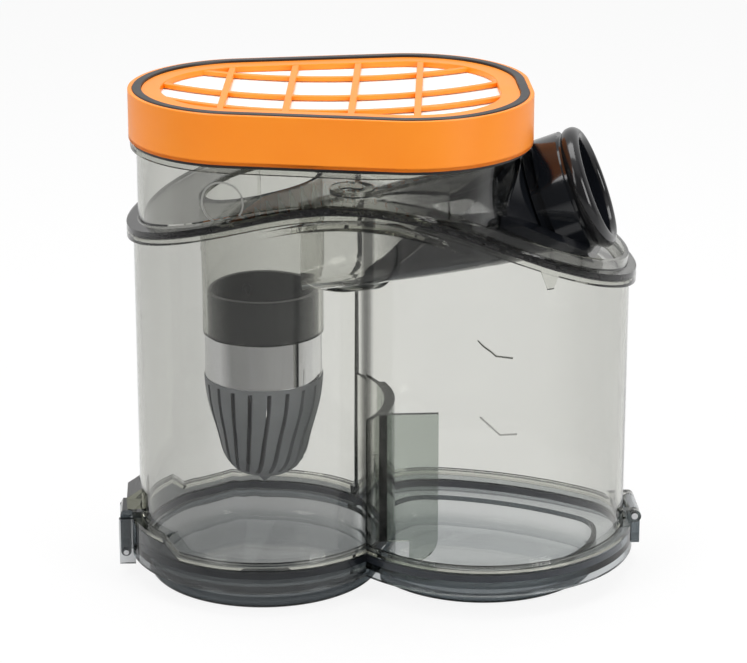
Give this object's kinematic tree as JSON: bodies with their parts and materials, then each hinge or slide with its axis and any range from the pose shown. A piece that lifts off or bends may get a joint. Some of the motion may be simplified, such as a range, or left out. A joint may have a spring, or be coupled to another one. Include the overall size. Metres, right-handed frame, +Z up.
{
  "type": "cyclone dust bin",
  "caption": "Clear smoke twin-chamber cyclone dust bin with slatted shroud, slanted hose inlet, orange filter cassette on top and a hinged, latched bottom lid.",
  "frame": {"origin": "under the middle of the whole object, on the surface it stands on", "axes": "+X from the latch towards the hinge and the inlet, +Z up towards the filter, +Y across the bin, with the inlet duct on the -Y side"},
  "size_m": [0.2408, 0.1392, 0.2295],
  "materials": {
    "clear_smoke": "clear smoke-tinted moulding",
    "lid_smoke": "darker smoke-tinted moulding",
    "baffle_smoke": "dark smoke-tinted moulding",
    "port_smoke": "very dark glossy moulding",
    "black_rubber": "soft black rubber",
    "grey_rubber": "dark grey rubber",
    "dark_plastic": "satin dark moulding",
    "slate_plastic": "satin slate-grey moulding",
    "chrome": "mirror plated",
    "orange_plastic": "satin orange moulding",
    "white_fleece": "white non-woven fleece",
    "filter_paper": "folded filter sheet",
    "steel": "drawn steel"
  },
  "bodies": {
    "bin": {"bin_body": "clear_smoke", "upper_housing": "clear_smoke", "plenum_wall": "clear_smoke", "outlet_tube": "clear_smoke", "inlet_duct": "clear_smoke", "dust_baffle": "baffle_smoke", "inlet_port": "port_smoke", "inlet_tube": "port_smoke", "flange_seal": "black_rubber", "inlet_seal": "black_rubber", "filter_top_seal": "black_rubber", "filter_base_seal": "black_rubber", "shroud_collar": "dark_plastic", "shroud_cone": "slate_plastic", "shroud_ring": "chrome", "filter_frame": "orange_plastic", "filter_fleece": "white_fleece", "filter_pleats": "filter_paper", "hinge_pin": "steel"},
    "lid": {"bottom_lid": "lid_smoke", "lid_seal": "grey_rubber", "latch_pin": "steel"},
    "latch": {"latch_lever": "lid_smoke"}
  },
  "joints": [
    {"name": "lid_hinge", "type": "hinge", "parent": "bin", "child": "lid", "pos_m": [0.11745, 0.00075, 0.0256], "axis": [0, -1, 0], "range_deg": [0, 95]},
    {"name": "latch_pivot", "type": "hinge", "parent": "lid", "child": "latch", "pos_m": [-0.11745, 0.00075, 0.0115], "axis": [0, -1, 0], "range_deg": [0, 14], "stiffness_Nm_per_rad": 0.05, "springref_deg": -5.73}
  ]
}
